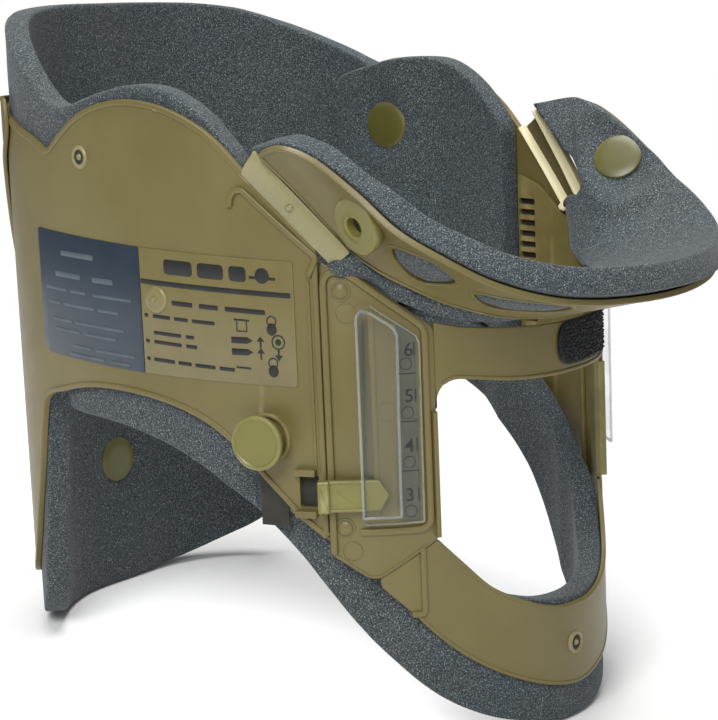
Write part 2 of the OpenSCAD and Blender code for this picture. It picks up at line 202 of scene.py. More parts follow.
# ---------- drawing in the flat ----------
def spline(points, step=2.0):
    """Points about step apart on a smooth curve through the given points."""
    p = [Vector(q) for q in points]
    chord = [(b - a).length for a, b in zip(p, p[1:])]
    slope = [(b - a) / c for a, b, c in zip(p, p[1:], chord)]
    tangent = [slope[0]]
    for i in range(1, len(p) - 1):
        a, b = chord[i - 1], chord[i]
        tangent.append((slope[i - 1] * b + slope[i] * a) / (a + b))
    tangent.append(slope[-1])
    out = []
    for i, c in enumerate(chord):
        k = max(1, round(c / step))
        for j in range(k):
            t = j / k
            out.append(
                p[i] * (2 * t ** 3 - 3 * t * t + 1) + p[i + 1] * (3 * t * t - 2 * t ** 3)
                + tangent[i] * (c * (t ** 3 - 2 * t * t + t)) + tangent[i + 1] * (c * (t ** 3 - t * t))
            )
    return out + [p[-1]]


def line(points, step=2.0):
    """Points about step apart on straight lines through the given points."""
    out = []
    for a, b in zip(points, points[1:]):
        a, b = Vector(a), Vector(b)
        k = max(1, round((b - a).length / step))
        out += [a.lerp(b, j / k) for j in range(k)]
    return out + [Vector(points[-1])]


def joined(*runs):
    """One outline from runs of points, each starting where the one before it ends."""
    return [p for run in runs for p in run[:-1]]


SHARP_TURN = 0.5  # radians: an outline that turns more than this has a corner there


def turn_at(poly, i, closed):
    """How far the outline turns at its point i, in radians."""
    n = len(poly)
    if not closed and i in (0, n - 1):
        return 0.0
    a, b, c = poly[i - 1], poly[i], poly[(i + 1) % n]
    if (b - a).length < 1e-6 or (c - b).length < 1e-6:
        return 0.0
    return (b - a).angle(c - b)


def soften(poly, radius, closed=True):
    """Rounds the corners of an outline. A corner's arc starts and ends radius away from it."""
    n = len(poly)
    corners = [i for i in range(n) if turn_at(poly, i, closed) > SHARP_TURN]
    gone, arcs = set(), {}
    for number, i in enumerate(corners):
        r = radius[number % len(radius)] if isinstance(radius, (list, tuple)) else radius
        ends = []
        for way in (-1, 1):
            left, k = r, i
            while True:
                j = k + way
                if closed:
                    j %= n
                elif j < 0 or j >= n:
                    ends.append(poly[k].copy())
                    break
                step = (poly[j] - poly[k]).length
                if step >= left or (j in corners and j != i):
                    reach = min(left / max(step, 1e-9), 0.5 if j in corners else 1.0)
                    ends.append(poly[k].lerp(poly[j], reach))
                    gone.add(k)
                    break
                left -= step
                gone.add(k)
                k = j
        a, b = ends
        arcs[i] = [
            a * (1 - t) ** 2 + poly[i] * (2 * t * (1 - t)) + b * t * t
            for t in (0, 0.17, 0.34, 0.5, 0.66, 0.83, 1)
        ]
    out = []
    for i in range(n):
        if i in arcs:
            out += arcs[i]
        elif i not in gone:
            out.append(poly[i])
    return [p for i, p in enumerate(out) if (p - out[i - 1]).length > 0.02]


def plan(points, radius, step=2.0):
    """An outline of straight lines with rounded corners."""
    return soften(line(points, step), radius)


def rect(u0, z0, u1, z1, radius=0):
    """A rectangle's outline, with rounded corners if it has a radius."""
    corners = [(u0, z0), (u1, z0), (u1, z1), (u0, z1)]
    return plan(corners, radius) if radius else line(corners)


def inset(poly, distance):
    """The outline moved inward by that distance."""
    n = len(poly)
    area = sum(poly[i - 1].x * poly[i].y - poly[i].x * poly[i - 1].y for i in range(n))
    out = []
    for i, p in enumerate(poly):
        a, b = (p - poly[i - 1]).normalized(), (poly[(i + 1) % n] - p).normalized()
        t = (a + b).normalized()
        inward = Vector((-t.y, t.x)) * (1 if area > 0 else -1)
        out.append(p + inward * (distance / max(a.dot(t), 0.6)))
    return out


def circle(x, y, r, n=28, rx=None):
    """A round or oval outline."""
    turns = [2 * math.pi * k / n for k in range(n)]
    return [Vector((x + (rx or r) * math.cos(t), y + r * math.sin(t))) for t in turns]


def rounded(r, d, way, n=4):
    """Steps (inset, d) of a rim rounded with radius r up to d. way is 1 outward, -1 inward."""
    return [
        (r * (1 - math.cos(t)), d - way * r * (1 - math.sin(t)))
        for t in (math.pi / 2 * k / n for k in range(n + 1))
    ]


def slab(outline, back, front, bm=None):
    """A plate in (u, z, d). back and front list its faces' (inset, d) steps from the rim inward."""
    bm = bm or bmesh.new()
    n = len(outline)
    rings = [[bm.verts.new((p.x, p.y, d)) for p in inset(outline, a)] for a, d in back[::-1] + front]
    for p, q in zip(rings, rings[1:]):
        for i in range(n):
            j = (i + 1) % n
            bm.faces.new((p[i], p[j], q[j], q[i]))
    bm.faces.new(rings[0][::-1])
    bm.faces.new(rings[-1])
    return bm


def block(outline, d0, d1, r=0.3, bm=None):
    """A plate with slightly rounded edges."""
    return slab(outline, rounded(r, d0, -1, 2), rounded(r, d1, 1, 2), bm)


def rib(path, width, height, d0, bm=None, closed=False):
    """A raised bead of that width and height along a path, standing on d0."""
    bm = bm or bmesh.new()
    path = [Vector(p[:2]) for p in path]
    n = len(path)
    root = -0.3 if height > 0 else 0.3
    shape = [(-0.5, root), (-0.5, height * 0.45), (-0.4, height * 0.8), (-0.2, height * 0.96),
             (0.2, height * 0.96), (0.4, height * 0.8), (0.5, height * 0.45), (0.5, root)]
    rings = []
    for i, p in enumerate(path):
        a = path[i - 1] if closed or i else p
        b = path[(i + 1) % n] if closed or i < n - 1 else p
        t = (b - a).normalized()
        side = Vector((-t.y, t.x))
        if a != p and b != p:
            side /= max(math.cos((p - a).angle(b - p) / 2), 0.6)
        rings.append([bm.verts.new((*(p + side * (s * width)), d0 + h)) for s, h in shape])
    k = len(shape)
    for i in range(n if closed else n - 1):
        p, q = rings[i], rings[(i + 1) % n]
        for j in range(k):
            bm.faces.new((p[j], p[(j + 1) % k], q[(j + 1) % k], q[j]))
    if not closed:
        bm.faces.new(rings[0])
        bm.faces.new(rings[-1][::-1])
    return bm


def lathe(profile, n=40, bm=None, x=0.0, y=0.0):
    """A turned piece. Its profile of (radius, height) ends on the axis or closes on itself."""
    bm = bm or bmesh.new()
    rings = []
    for r, h in profile:
        if r < 1e-6:
            rings.append([bm.verts.new((x, y, h))])
        else:
            turns = [2 * math.pi * k / n for k in range(n)]
            rings.append([bm.verts.new((x + r * math.cos(t), y + r * math.sin(t), h)) for t in turns])
    pairs = list(zip(rings, rings[1:]))
    if len(rings[0]) > 1 and len(rings[-1]) > 1:
        pairs.append((rings[-1], rings[0]))
    for p, q in pairs:
        for k in range(n):
            j = (k + 1) % n
            if len(p) == 1:
                bm.faces.new((p[0], q[k], q[j]))
            elif len(q) == 1:
                bm.faces.new((p[k], q[0], p[j]))
            else:
                bm.faces.new((p[k], q[k], q[j], p[j]))
    return bm


def add(name, data):
    """A new object in the scene."""
    made = bpy.data.objects.new(name, data)
    bpy.context.scene.collection.objects.link(made)
    return made


def to_mesh(name, bm):
    mesh = bpy.data.meshes.new(name)
    bm.to_mesh(mesh)
    bm.free()
    return mesh


def evaluated(made):
    """The mesh of an object with its modifiers, or of a text; the object goes."""
    mesh = bpy.data.meshes.new_from_object(made.evaluated_get(bpy.context.evaluated_depsgraph_get()))
    bpy.data.objects.remove(made)
    return mesh


def carve(bm, cutter):
    """Takes the cutter's solids out of bm, one solid, both still flat."""
    for part in (bm, cutter):
        bmesh.ops.recalc_face_normals(part, faces=part.faces)
    body, tool = add("flat", to_mesh("flat", bm)), add("flat", to_mesh("flat", cutter))
    cut = body.modifiers.new("cut", "BOOLEAN")
    cut.operation, cut.solver, cut.object = "DIFFERENCE", "EXACT", tool
    out = bmesh.new()
    out.from_mesh(evaluated(body))
    bpy.data.objects.remove(tool)
    return out


def slice_up(bm, axis, step):
    """Cuts every face at multiples of step, so that the pattern can bend."""
    values = [v.co[axis] for v in bm.verts]
    normal = Vector((0, 0, 0))
    normal[axis] = 1
    k = math.ceil((min(values) + 0.05) / step)
    while k * step < max(values) - 0.05:
        everything = bm.verts[:] + bm.edges[:] + bm.faces[:]
        bmesh.ops.bisect_plane(bm, geom=everything, dist=0.01, plane_co=normal * (k * step), plane_no=normal)
        k += 1


def piece(name, bm, place, look, body, nodes=(), side=1, grid=(), shape=None, lumps=0.0, sharp=32):
    """Bends a flat pattern with place, leans it back, and makes it an object riding on a body."""
    for axis, step in enumerate(grid):
        if step:
            slice_up(bm, axis, step)
    for v in bm.verts:
        u, z, d = v.co
        if shape:
            u, z, d = shape(u, z, d)
        p = place(u, z, d)
        v.co = STANCE @ Vector((p.x * side, p.y, p.z)) / 1000
    bmesh.ops.recalc_face_normals(bm, faces=bm.faces)
    if lumps:
        bm.normal_update()
        moves = [
            v.normal * (noise.noise(v.co * 60) * 0.7 + noise.noise(v.co * 190) * 0.3) * lumps / 1000
            for v in bm.verts
        ]
        for v, move in zip(bm.verts, moves):
            v.co += move
    mesh = to_mesh(name, bm)
    mesh.shade_smooth()
    mesh.set_sharp_from_angle(angle=math.radians(sharp))
    made = add(name, mesh)
    material, slot = look
    mesh.materials.append(material)
    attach(made, body)
    if nodes:
        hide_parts(*nodes)
    return made


# ---------- materials ----------
class Look:
    """Node helpers of one material, whose patterns follow the object's own coordinates."""

    def __init__(self, name, rough, **sockets):
        self.material = bpy.data.materials.new(name)
        self.material.use_nodes = True
        self.tree = self.material.node_tree
        self.shader = self.tree.nodes["Principled BSDF"]
        self.shader.inputs["Roughness"].default_value = rough
        for key, value in sockets.items():
            self.shader.inputs[key.replace("_", " ")].default_value = value
        self.coords = self.tree.nodes.new("ShaderNodeTexCoord").outputs["Object"]

    def node(self, kind, links=None, **settings):
        made = self.tree.nodes.new(kind)
        for key, value in settings.items():
            setattr(made, key, value)
        for key, value in (links or {}).items():
            if isinstance(value, bpy.types.NodeSocket):
                self.tree.links.new(value, made.inputs[key])
            else:
                made.inputs[key].default_value = value
        return made

    def noise(self, scale, detail=3.0, roughness=0.55):
        return self.node("ShaderNodeTexNoise", {
            "Vector": self.coords, "Scale": scale, "Detail": detail, "Roughness": roughness,
        }).outputs["Fac"]

    def ramp(self, value, *stops):
        made = self.node("ShaderNodeValToRGB", {"Fac": value})
        ramp = made.color_ramp
        while len(ramp.elements) < len(stops):
            ramp.elements.new(0.5)
        for element, (position, colour) in zip(ramp.elements, stops):
            element.position, element.color = position, (*colour, 1)
        return made.outputs["Color"]

    def mix(self, share, a, b, kind="MIX"):
        a, b = ((*c, 1) if isinstance(c, tuple) else c for c in (a, b))
        made = self.node("ShaderNodeMix", {0: share, 6: a, 7: b}, data_type="RGBA", blend_type=kind)
        return made.outputs[2]

    def colour(self, socket):
        self.tree.links.new(socket, self.shader.inputs["Base Color"])

    def rough(self, value, low, high):
        made = self.node("ShaderNodeMapRange", {"Value": value, "To Min": low, "To Max": high})
        self.tree.links.new(made.outputs["Result"], self.shader.inputs["Roughness"])

    def bump(self, *layers):
        """Layers of (height, strength, distance in metres)."""
        normal = None
        for height, strength, distance in layers:
            links = {"Height": height, "Strength": strength, "Distance": distance}
            if normal:
                links["Normal"] = normal
            normal = self.node("ShaderNodeBump", links).outputs["Normal"]
        self.tree.links.new(normal, self.shader.inputs["Normal"])


def moulded(name, slot, dark, light, rough=0.42, worn_and_lit=(0.5, 0.45, 0.28)):
    """Matte moulded plastic: soft mottling, fine spark-eroded grain, and paler edges that are partly wear,
    partly painted highlight.
    """
    look = Look(name, rough)
    base = look.ramp(look.noise(28, 4), (0.35, dark), (0.68, light))
    # sharp edges are paled: partly wear, partly a painted highlight
    edge = look.ramp(
        look.node("ShaderNodeNewGeometry").outputs["Pointiness"], (0.52, (0, 0, 0)), (0.6, (1, 1, 1))
    )
    patches = look.ramp(look.noise(160, 3), (0.4, (0.1,) * 3), (0.65, (0.75,) * 3))
    wear_and_highlight = look.mix(1.0, edge, patches, "MULTIPLY")
    look.colour(look.mix(wear_and_highlight, base, worn_and_lit))
    look.rough(look.noise(90, 4), rough - 0.06, rough + 0.1)
    look.bump((look.noise(3200, 2), 0.12, 0.0003), (look.noise(45, 2), 0.05, 0.002))
    return look.material, slot


def closed_cell(name):
    """Closed-cell foam: dark slate skin with cut cells that catch the light as fine speckle."""
    look = Look(name, 0.85, Specular_IOR_Level=0.3, Sheen_Weight=0.1, Sheen_Roughness=0.5)
    cells = look.noise(2300, 2, 0.7)
    tone = look.ramp(
        cells, (0.36, (0.014, 0.02, 0.023)), (0.5, (0.04, 0.049, 0.054)), (0.6, (0.1, 0.115, 0.12)),
        (0.71, (0.29, 0.31, 0.315)),
    )
    drift = look.ramp(look.noise(26, 3), (0.3, (0.86, 0.92, 0.95)), (0.7, (1.05, 1.03, 1.02)))
    look.colour(look.mix(1.0, tone, drift, "MULTIPLY"))
    pits = look.node("ShaderNodeTexVoronoi", {"Vector": look.coords, "Scale": 1900.0}).outputs["Distance"]
    look.bump((pits, 0.45, 0.0003), (cells, 0.4, 0.0003), (look.noise(70, 3), 0.1, 0.002))
    return look.material, "liner_foam"


def clear_plastic(name, face, edge):
    """Clear plastic: nearly invisible face on, milky and bright where it turns away."""
    look = Look(name, 0.08, Specular_IOR_Level=0.9)
    look.colour(look.ramp(look.noise(60, 2), (0.3, (0.3, 0.34, 0.31)), (0.7, (0.4, 0.44, 0.4))))
    facing = look.node("ShaderNodeLayerWeight", {"Blend": 0.5}).outputs["Facing"]
    clear = look.ramp(facing, (0.1, (face,) * 3), (0.5, (face * 1.5,) * 3), (0.95, (edge,) * 3))
    look.tree.links.new(clear, look.shader.inputs["Alpha"])
    look.bump((look.noise(160, 2), 0.03, 0.0005))
    return look.material, "clear_cover"


def film(name, slot, dark, light, rough=0.35):
    """Printed film or ink: nearly even, with faint drift and a fine tooth."""
    look = Look(name, rough)
    look.colour(look.ramp(look.noise(120, 4), (0.35, dark), (0.7, light)))
    look.rough(look.noise(200, 3), rough - 0.05, rough + 0.12)
    look.bump((look.noise(900, 2), 0.05, 0.0002))
    return look.material, slot


def hook_cloth(name):
    """Hook fabric: nearly black, with a rough pile."""
    look = Look(name, 0.85, Sheen_Weight=0.12)
    look.colour(look.ramp(look.noise(900, 3), (0.35, (0.002, 0.003, 0.004)), (0.7, (0.01, 0.012, 0.017))))
    look.bump((look.noise(2200, 2), 0.6, 0.0003))
    return look.material, "hook_fabric"


SHELL = moulded(
    "shell_tan", "shell_plastic", (0.118, 0.094, 0.026), (0.14, 0.114, 0.036), worn_and_lit=(0.3, 0.24, 0.1),
)
LIGHT = moulded(
    "light_olive", "light_plastic", (0.128, 0.118, 0.02), (0.156, 0.145, 0.032), 0.33, (0.32, 0.29, 0.13),
)
HINGE = moulded(
    "hinge_olive", "light_plastic", (0.21, 0.19, 0.085), (0.26, 0.235, 0.12), 0.28, (0.45, 0.4, 0.24),
)
RIVET = moulded("rivet_olive", "rivet", (0.15, 0.125, 0.045), (0.2, 0.17, 0.07), 0.3, (0.4, 0.34, 0.2))
FOAM = closed_cell("closed_cell_foam")
CLEAR = clear_plastic("clear_plastic", 0.03, 0.3)
# a more opaque copy of the clear plastic: the cover's milky edges with painted highlight
EDGE_HIGHLIGHT = clear_plastic("clear_plastic_edge_highlight", 0.3, 0.55)
HOOKS = hook_cloth("hook_cloth")
BEIGE = film("label_beige", "label_film", (0.138, 0.115, 0.042), (0.15, 0.126, 0.048), 0.3)
NAVY = film("label_navy", "label_film", (0.014, 0.025, 0.04), (0.018, 0.031, 0.047), 0.3)
# a near-white copy of the hinge plastic: painted highlight on the hinge's inner ribs
RIB_HIGHLIGHT = moulded(
    "hinge_rib_painted_highlight", "light_plastic", (0.62, 0.56, 0.34), (0.72, 0.66, 0.42), 0.3, (0.9, 0.85, 0.6),
)
# a dark copy of the olive plastic: painted shade on the hinge's inner trough
SHADE_PAINTED_OLIVE = moulded(
    "painted_shade_olive", "light_plastic", (0.05, 0.04, 0.01), (0.075, 0.06, 0.016), worn_and_lit=(0.1, 0.08, 0.03),
)
BUTTON = moulded(
    "button_olive", "light_plastic", (0.082, 0.078, 0.016), (0.1, 0.095, 0.022), 0.33, (0.22, 0.2, 0.09),
)
INK = film("label_ink", "label_film", (0.004, 0.004, 0.004), (0.01, 0.01, 0.009), 0.45)
FAINT = film("label_faint_ink", "label_film", (0.045, 0.065, 0.08), (0.07, 0.095, 0.11), 0.4)
SCALE = film("scale_film", "number_film", (0.058, 0.058, 0.04), (0.075, 0.074, 0.05), 0.4)
# near-black painted shade, laid as discs and sheets in holes and behind openings where shade falls
PAINTED_SHADE = film("painted_shade_black", "shell_plastic", (0.012, 0.011, 0.008), (0.03, 0.026, 0.018), 0.7)

# ---------- upper shell ----------
SIDE_TOP = [
    (189.2, 183.1), (186, 185.6), (180, 190), (171.5, 195), (161, 198.6), (152, 200), (143, 199.8),
    (134, 198.2), (126, 195.4), (118, 191.2), (112, 186.6), (107, 181.6),
]
SIDE_FRONT = [(107, 181.6), (104.4, 179), (81.4, 156.2), (81.4, 66.4)]
SIDE_LOW = [
    (81.4, 66.4), (84.5, 68.6), (90.8, 73.8), (97, 79.8), (103.1, 85.8), (108.5, 91.2), (113.9, 95.8),
    (121, 100.4), (128.6, 103.6), (141, 106.6), (153.6, 108), (164, 108.2), (173.4, 107.5), (181, 106.2),
    (189.2, 104.2),
]
BACK_LOW = [
    (189.2, 104.2), (195, 103), (199.2, 100.6), (201.8, 93.5), (205.6, 78.5), (212, 60), (219, 45), (226, 37),
    (235, 33), (248, 31.8), (292, 31.8),
]
BACK_TOP = [
    (292, 199), (265, 198), (240, 196), (220, 193), (208, 190), (198, 187), (189.2, 183.1),
]
PLATE_BACK, PLATE_FRONT = [(0, 0.3 - SHELL_T), (0.3, -SHELL_T)], [(0, -0.2), (0.25, 0)]
LOCK_AT = (100, 97.75)


def other_half(points):
    """The same points on the other side of the ring."""
    return [(ROUND - u, z) for u, z in points[::-1]]


def latch_window():
    """The opening that the latch's bar goes into."""
    return block(rect(83.9, 76.9, 90.2, 86.9, 0.8), -3, 3)


def lock_bore(bm=None):
    """The opening that the safety lock's stem and blade pass through."""
    return block(circle(*LOCK_AT, 4.4), -3, 3, 0, bm)


right_edge = joined(
    spline(SIDE_LOW), spline(BACK_LOW + other_half(BACK_LOW)[1:]),
    line([(ROUND - 189.2, 104.2), (ROUND - 189.2, 183.1)]), spline(other_half(BACK_TOP) + BACK_TOP[1:]),
    spline(SIDE_TOP), line(SIDE_FRONT),
)
left_edge = joined(
    spline(SIDE_LOW), line([(189.2, 104.2), (189.2, 183.1)]), spline(SIDE_TOP), line(SIDE_FRONT),
)
for edge, side, name, nodes in (
    (right_edge, 1, "shell_right_and_back", ["side_panel_right", "back_panel"]),
    (left_edge, -1, "shell_left", ["side_panel_left"]),
):
    edge = soften(edge, 2.5)
    openings = latch_window()
    lock_bore(openings)
    panel = carve(slab(edge, PLATE_BACK, PLATE_FRONT), openings)
    rib(inset(edge, 0.95), 1.8, 0.55, 0, panel, True)
    # the ridge beside the hinge and the doubled front lip
    ridge = spline([(109.4, 168.2), (109, 170.6), (107.6, 172.8), (105.2, 173.2), (103, 171.7)], 1)
    ridge += line([(102, 170.9), (81.6, 153.2), (84.4, 147.6)], 1.5)
    rib(soften(ridge, 1.2, False), 1.9, 1.25, 0, panel)
    rib(line([(84.6, 146), (84.6, 90)]), 1.0, 0.5, 0, panel)
    piece(name, panel, at, SHELL, "shell", nodes, side, (2.0, 12.0))

BOSS = [(7.8, -0.2), (7.8, 1.2), (7.5, 1.6), (6.95, 1.6), (6.6, 1.2), (6.6, -0.2)]
LOCK_BUTTON = [
    (0, 8.15), (6.9, 8.15), (7.3, 8.42), (8.0, 8.4), (8.4, 8.05), (8.5, 7.4), (8.5, 6.9), (8.2, 6.4),
    (6.5, 6.2), (6.3, 5.9), (6.3, 4.9), (5.9, 4.7), (5.9, 3.5), (5.6, 3.3), (3.8, 3.3), (3.8, 1.7), (0, 1.6),
]


def latch_guide(side, which):
    """Two bars that the latch runs between, and a sheet of painted shade behind its window."""
    guide = bmesh.new()
    for z in (87.9, 75.0):
        block(rect(84.4, z - 1.1, 91.2, z + 1.1, 0.5), 0, 2.6, 0.4, guide)
    painted_window_shade = block(rect(83.4, 76.4, 92, 87.4), -1.95, -1.5, 0.05)
    piece("latch_painted_shade_" + which, painted_window_shade, at, PAINTED_SHADE, "shell", (), side, BEND)
    piece("latch_guide_" + which, guide, at, SHELL, "shell", ["latch_guide_" + which], side, BEND)


def safety_lock(side, which):
    """The boss on the panel, and the button whose blade goes through it into the ladder."""
    name, place = "safety_lock_" + which, spot(*LOCK_AT)
    piece("lock_boss_" + which, lathe(BOSS), place, SHELL, "shell", ["lock_boss_" + which], side)
    # a film of shade on the shell's inner face, seen through the ladder's slots
    shade = carve(block(rect(95, 70, 104.5, 157), -1.8, -1.5, 0.05), lock_bore())
    piece("slot_shade_" + which, shade, at, PAINTED_SHADE, "shell", (), side, BEND)
    blade = block(rect(-3.2, -0.8, 3.2, 0.8), -1.6, 2, 0.2)
    piece("lock_button_" + which, lathe(LOCK_BUTTON, 56, blade), place, LIGHT, name, [name], side)


for side, which in SIDES:
    latch_guide(side, which)
    safety_lock(side, which)

# ---------- living hinges ----------
HINGE_REAR, HINGE_ALONG = Vector((104.3, 178.4)), Vector((-27.9, -27.8)).normalized()
HINGE_L, HINGE_W = 39.4, 6.4
STRIP = [(104.5, 178.2), (76.6, 150.4), (72.2, 155.0), (99.4, 185.6)]
HINGE_EDGES = (((103.6, 179.6), (78.4, 154.0)), ((100.2, 185.2), (73.8, 156.6)))


def on_hinge(u, z, d):
    """The strip is straight along its length, opens outward to the chin rest, and is slightly crowned."""
    off = Vector((u, z)) - HINGE_REAR
    along_it = off.dot(HINGE_ALONG)
    s = min(max(abs(off.x * HINGE_ALONG.y - off.y * HINGE_ALONG.x) / HINGE_W, 0), 1)
    d += 3.1 * s + 0.7 * math.sin(math.pi * s)
    across = Vector((u, z)) - HINGE_ALONG * along_it
    near, far = across, across + HINGE_ALONG * HINGE_L
    near, far = at(near.x - 1.4 * s, near.y, d), at(far.x - 1.4 * s, far.y, d)
    straight = near.lerp(far, along_it / HINGE_L)
    return straight.lerp(at(u - 1.4 * s, z, d), 0.3)


def living_hinge(side, which):
    """The strip between panel and chin rest; its inner face is a trough between two ribs."""
    edge = plan(STRIP, 0.8, 1.5)
    # the ribs' near-white colour is a painted highlight
    ribs = bmesh.new()
    for a, b in HINGE_EDGES:
        rib(line([a, b], 1.5), 1.3, -2.9, -1.4, ribs)
        lathe([(0, -4.8), (1.2, -4.6), (1.8, -3.8), (1.8, -1.0), (0, -1.0)], 16, ribs, *b)
    piece("hinge_ribs_" + which, ribs, on_hinge, RIB_HIGHLIGHT, "shell", (), side, (2.0, 2.0))
    # the trough's dark olive is painted shade
    trough = block(inset(edge, 0.5), -1.8, -1.2, 0.2)
    piece("hinge_trough_" + which, trough, on_hinge, SHADE_PAINTED_OLIVE, "shell", (), side, (2.0, 2.0))
    strip = block(edge, -1.5, 1.5, 0.5)
    lathe([(0, 2.4), (0.7, 2.3), (1.2, 1.8), (1.3, 1.2), (0, 1.0)], 20, strip, 89.2, 168.2)
    piece(
        "hinge_strip_" + which, strip, on_hinge, HINGE, "shell", ["hinge_strip_" + which], side, (2.0, 2.0),
    )


for side, which in SIDES:
    living_hinge(side, which)

# ---------- closure tab ----------
tab = plan([(271, 139), (271, 197.5), (217, 199.6), (215.5, 188), (231, 174), (246, 139)], 5)
tab = slab(tab, [(0, 0.7), (0.3, 0.4)], [(0, 1.3), (0.3, 1.8), (1.0, 1.9), (1.6, 1.5), (2.0, 1.4)])
piece("closure_tab", tab, at, SHELL, "shell", ["closure_tab"], grid=(2.0, 12.0))

# ---------- foam liner ----------
FOAM_TOP = [
    (105.8, 181), (112, 188), (118, 194), (126, 199.5), (134, 203), (141, 204.2), (150, 204.3),
    (160, 202.4), (170, 200), (178, 198), (184.5, 197.3), (191, 199), (198, 203.4), (208, 210.4),
    (218, 216.6), (228, 221.4), (241, 225), (265, 227.5), (300, 227.5), (330, 226.5), (343, 225.5),
    (359, 223), (374, 218.5), (386, 214.5), (394, 211.5), (404, 207.5), (414, 203), (424, 199), (436, 196),
]
FOAM_LOW = [
    (105.8, 103), (119, 110.5), (131, 114.5), (152, 116.5), (170, 114.8), (182, 112.5), (192, 109.5),
    (199, 104.5), (202, 97), (203.5, 85), (207, 64), (212.5, 43.5), (219, 26.5), (226, 20.6), (236, 18),
    (250, 16.8), (262, 16.65), (280, 16.65), (292, 16.65), (304, 17.2), (318, 18.6), (331, 21), (345, 24.8),
    (356, 28.6), (363, 32.5), (368, 38), (373, 50), (378, 68), (380.8, 98), (384.2, 104.5), (392, 109.5),
    (402, 112.5), (414, 114), (436, 118),
]
NAPE_BUTTON, TAIL_BUTTON, EAR_BUTTON = (150, 180), (289, 62), (156, 180.5)
DENT_R, DENT_DEPTH = 10.4, 2.4


def pad(name, outline, faces, place, body, nodes, side=1, r=1.1, grid=(3.0, 5.0), shape=None):
    """A pad of sheet foam between two faces, with rounded edges."""
    foam = slab(outline, rounded(r, faces[0], -1, 4), rounded(r, faces[1], 1, 4))
    piece(name, foam, place, FOAM, body, nodes, side, grid, shape, 0.22, 45)


def dented(*dents):
    """Presses a pad's inner face in where the buttons are."""
    def shape(u, z, d):
        if d < (FOAM_IN + FOAM_OUT) / 2:
            for du, dz in dents:
                q = math.hypot(u - du, z - dz) / DENT_R
                d += DENT_DEPTH * math.exp(-q * q * q * q)
        return u, z, d
    return shape


def between(low, top):
    """The outline of a pad between its lower and upper edge."""
    return joined(spline(low), line([low[-1], top[-1]]), spline(top[::-1]), line([top[0], low[0]]))


pad(
    "nape_liner", soften(between(FOAM_LOW, FOAM_TOP), 5), (FOAM_IN, FOAM_OUT), at, "shell",
    ["back_foam", "side_foam_right"], shape=dented(NAPE_BUTTON, TAIL_BUTTON),
)
side_outline = soften(between(FOAM_LOW[:5] + [(178, 113.2)], FOAM_TOP[:10]), 5)
pad(
    "side_liner_left", side_outline, (FOAM_IN, FOAM_OUT), on_ear, "shell", ["side_foam_left"], -1,
    shape=dented(EAR_BUTTON),
)

CHEST_TOP = [
    (0, 39.5), (12, 40.5), (25, 44.5), (36, 50.5), (44, 57), (50, 63), (57, 68.5), (65, 73.5), (73, 79),
    (80, 84.2), (87, 89.6), (95, 95.4), (104, 100.6), (118, 107.6), (131, 111.6), (152, 114), (170, 112),
    (181, 108.5), (188.6, 104),
]
CHEST_LOW = [
    (0, -0.4), (12, 0.5), (25, 3.8), (34, 7), (42, 11), (50, 16.2), (56, 20.8), (63, 26.8), (70, 33.6),
    (77, 41.2), (84, 49.4), (91, 57.2), (98, 64.4), (105, 70.6), (112, 76.6), (120, 82.6), (129, 87.6),
    (138, 91.3), (150, 94.6), (161, 96.4), (172, 97.3), (182, 97.8), (188.6, 98.6),
]


def mirrored(points):
    """Both halves of a line that starts in the middle of the front."""
    return [(-u, z) for u, z in points[:0:-1]] + points


chest_low = mirrored(CHEST_LOW)
# the left wing's lower edge runs a little higher
chest_low = [(u, z + table([(-150, 0), (-120, 2), (-108, 4), (-60, 4), (-46, 0)], u)) for u, z in chest_low]
chest = between(chest_low, mirrored(CHEST_TOP))
pad(
    "chest_pad", soften(chest, 2.6), (FOAM_IN - 0.2, FOAM_OUT - 0.3), on_chest, "front_frame", ["chest_foam"],
)

# ---------- chin rest ----------
DISC = [(0, 1.0), (4.5, 0.95), (7.0, 0.75), (8.0, 0.35), (8.3, -0.2), (8.0, -0.8), (0, -1.0)]
WINDOWS = [(40.5, 17.4, 10.8, 4.6, 0.6), (65.5, 19.9, 12.4, 4.4, 0.46)]
WINDOWS += [(CHIN_L - a, b, rx, r, -tilt) for a, b, rx, r, tilt in WINDOWS]
EYELET_A, EYELET_B = 25, 18.2
BUTTON_A, BUTTON_B = 26.4, 21


def stadium(x, y, rx, r, tilt):
    """A long oval with fuller ends than an ellipse."""
    out, n = [], 36
    for k in range(n):
        c, s = math.cos(2 * math.pi * k / n), math.sin(2 * math.pi * k / n)
        a, b = rx * abs(c) ** 0.62 * (1 if c > 0 else -1), r * abs(s) ** 0.7 * (1 if s > 0 else -1)
        out.append(Vector((
            x + a * math.cos(tilt) - b * math.sin(tilt), y + a * math.sin(tilt) + b * math.cos(tilt),
        )))
    return out


SHELL_LOW = [(1, 1.5), (12, 1.8), (24, 3), (40, 4.2), (70, 4.6), (100, 4.6)]
shell_low = SHELL_LOW + [(CHIN_L - a, b) for a, b in SHELL_LOW[-2::-1]]
chin_edge = joined(spline(shell_low), line([(199, 1.5), (199, 30), (1, 30), (1, 1.5)]))
chin_edge = soften(chin_edge, [2, 6, 6, 2])
chin = slab(chin_edge, [(0, 0.3), (0.3, 0)], [(0, 1.4), (0.25, 1.6)])
holes = bmesh.new()
for w in WINDOWS:
    block(stadium(*w), -3, 6, 0.3, holes)
for a in (EYELET_A, CHIN_L - EYELET_A):
    block(circle(a, EYELET_B, 2.6, rx=3.6), -3, 6, 0.2, holes)
chin = carve(chin, holes)
rib(inset(chin_edge, 0.6), 1.1, 0.5, 1.55, chin, closed=True)
for a, b, rx, r, tilt in WINDOWS:
    rib(stadium(a, b, rx + 0.7, r + 0.6, tilt), 0.9, 0.35, 1.55, chin, closed=True)
piece("chin_shell", chin, on_chin, SHELL, "shell", ["chin_shell"], grid=(2.0, 2.0))


